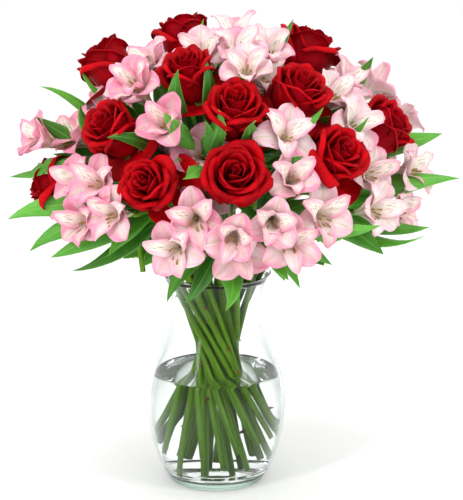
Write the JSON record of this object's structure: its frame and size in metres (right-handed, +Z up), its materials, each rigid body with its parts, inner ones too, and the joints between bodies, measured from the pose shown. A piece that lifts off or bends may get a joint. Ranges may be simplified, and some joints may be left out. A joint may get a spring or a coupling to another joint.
{
  "type": "roses in a vase",
  "caption": "Free-standing clear glass vase of water holding a domed, spiral-laid bouquet of red roses and pink alstroemeria with their leaves.",
  "frame": {"origin": "centre of the vase's flat base, on the surface it stands on", "axes": "+Z up, -Y towards the side the bouquet faces, +X to the right seen from there"},
  "size_m": [0.4126, 0.3409, 0.4529],
  "materials": {
    "vase_glass": "polished clear glass",
    "water": "clear still water",
    "rose_petals": "velvety petals",
    "rose_stems": "smooth green stem",
    "alstroemeria_foliage": "satin green stem and leaves",
    "alstroemeria_tepals": "satin pink tepals"
  },
  "bodies": {
    "root": {"vase": "vase_glass", "water": "water", "rose_bloom_01": "rose_petals", "rose_bloom_02": "rose_petals", "rose_bloom_03": "rose_petals", "rose_bloom_04": "rose_petals", "rose_bloom_05": "rose_petals", "rose_bloom_06": "rose_petals", "rose_bloom_07": "rose_petals", "rose_bloom_08": "rose_petals", "rose_bloom_09": "rose_petals", "rose_bloom_10": "rose_petals", "rose_bloom_11": "rose_petals", "rose_bloom_12": "rose_petals", "rose_stem_01": "rose_stems", "rose_stem_02": "rose_stems", "rose_stem_03": "rose_stems", "rose_stem_04": "rose_stems", "rose_stem_05": "rose_stems", "rose_stem_06": "rose_stems", "rose_stem_07": "rose_stems", "rose_stem_08": "rose_stems", "rose_stem_09": "rose_stems", "rose_stem_10": "rose_stems", "rose_stem_11": "rose_stems", "rose_stem_12": "rose_stems", "alstroemeria_stem_01": "alstroemeria_foliage", "alstroemeria_stem_02": "alstroemeria_foliage", "alstroemeria_stem_03": "alstroemeria_foliage", "alstroemeria_stem_04": "alstroemeria_foliage", "alstroemeria_stem_05": "alstroemeria_foliage", "alstroemeria_stem_06": "alstroemeria_foliage", "alstroemeria_stem_07": "alstroemeria_foliage", "alstroemeria_stem_08": "alstroemeria_foliage", "alstroemeria_stem_09": "alstroemeria_foliage", "alstroemeria_stem_10": "alstroemeria_foliage", "alstroemeria_stem_11": "alstroemeria_foliage", "alstroemeria_stem_12": "alstroemeria_foliage", "alstroemeria_stem_13": "alstroemeria_foliage", "alstroemeria_stem_14": "alstroemeria_foliage", "alstroemeria_stem_15": "alstroemeria_foliage", "alstroemeria_stem_16": "alstroemeria_foliage", "alstroemeria_stem_17": "alstroemeria_foliage", "alstroemeria_umbel_01": "alstroemeria_tepals", "alstroemeria_umbel_02": "alstroemeria_tepals", "alstroemeria_umbel_03": "alstroemeria_tepals", "alstroemeria_umbel_04": "alstroemeria_tepals", "alstroemeria_umbel_05": "alstroemeria_tepals", "alstroemeria_umbel_06": "alstroemeria_tepals", "alstroemeria_umbel_07": "alstroemeria_tepals", "alstroemeria_umbel_08": "alstroemeria_tepals", "alstroemeria_umbel_09": "alstroemeria_tepals", "alstroemeria_umbel_10": "alstroemeria_tepals", "alstroemeria_umbel_11": "alstroemeria_tepals", "alstroemeria_umbel_12": "alstroemeria_tepals", "alstroemeria_umbel_13": "alstroemeria_tepals", "alstroemeria_umbel_14": "alstroemeria_tepals", "alstroemeria_umbel_15": "alstroemeria_tepals", "alstroemeria_umbel_16": "alstroemeria_tepals", "alstroemeria_umbel_17": "alstroemeria_tepals"}
  },
  "joints": []
}
